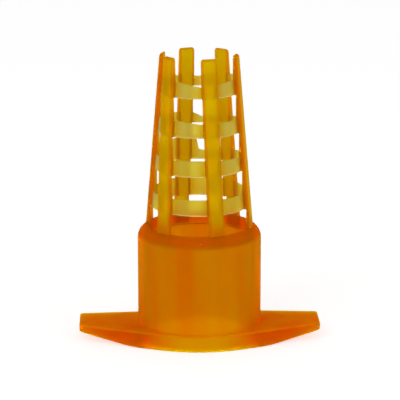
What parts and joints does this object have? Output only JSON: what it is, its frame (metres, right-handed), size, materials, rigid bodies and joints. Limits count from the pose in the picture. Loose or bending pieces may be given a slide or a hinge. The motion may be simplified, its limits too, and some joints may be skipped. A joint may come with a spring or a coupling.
{
  "type": "queen cell cage",
  "caption": "Hanging cage that holds and shields a queen bee cell: a hanger with two wings, a collar for the cell cup, and a tapering basket of fingers and rings.",
  "frame": {"origin": "centre of the underside of the hanger, on the axis of the bore, where the cage stands on a surface", "axes": "+Z along the bore axis toward the narrow end; X along the two wings; -Y is the side seen in front"},
  "size_m": [0.036, 0.019, 0.0429],
  "materials": {
    "hanger_amber": "translucent amber plastic, smooth from the mould, paler along its flat top and deeper orange where it is thick",
    "collar_amber": "translucent amber plastic, smooth, with a soft sheen",
    "finger_mustard": "thin translucent amber plastic that reads as mustard, with deeper orange edges",
    "ring_straw": "very thin translucent amber plastic that reads as pale straw"
  },
  "bodies": {
    "root": {"base_plate": "hanger_amber", "wing_left": "hanger_amber", "wing_right": "hanger_amber", "collar": "collar_amber", "shoulder": "collar_amber", "finger_1": "finger_mustard", "finger_2": "finger_mustard", "finger_3": "finger_mustard", "finger_4": "finger_mustard", "finger_5": "finger_mustard", "finger_6": "finger_mustard", "ring_1": "ring_straw", "ring_2": "ring_straw", "ring_3": "ring_straw", "ring_4": "ring_straw"}
  },
  "joints": []
}
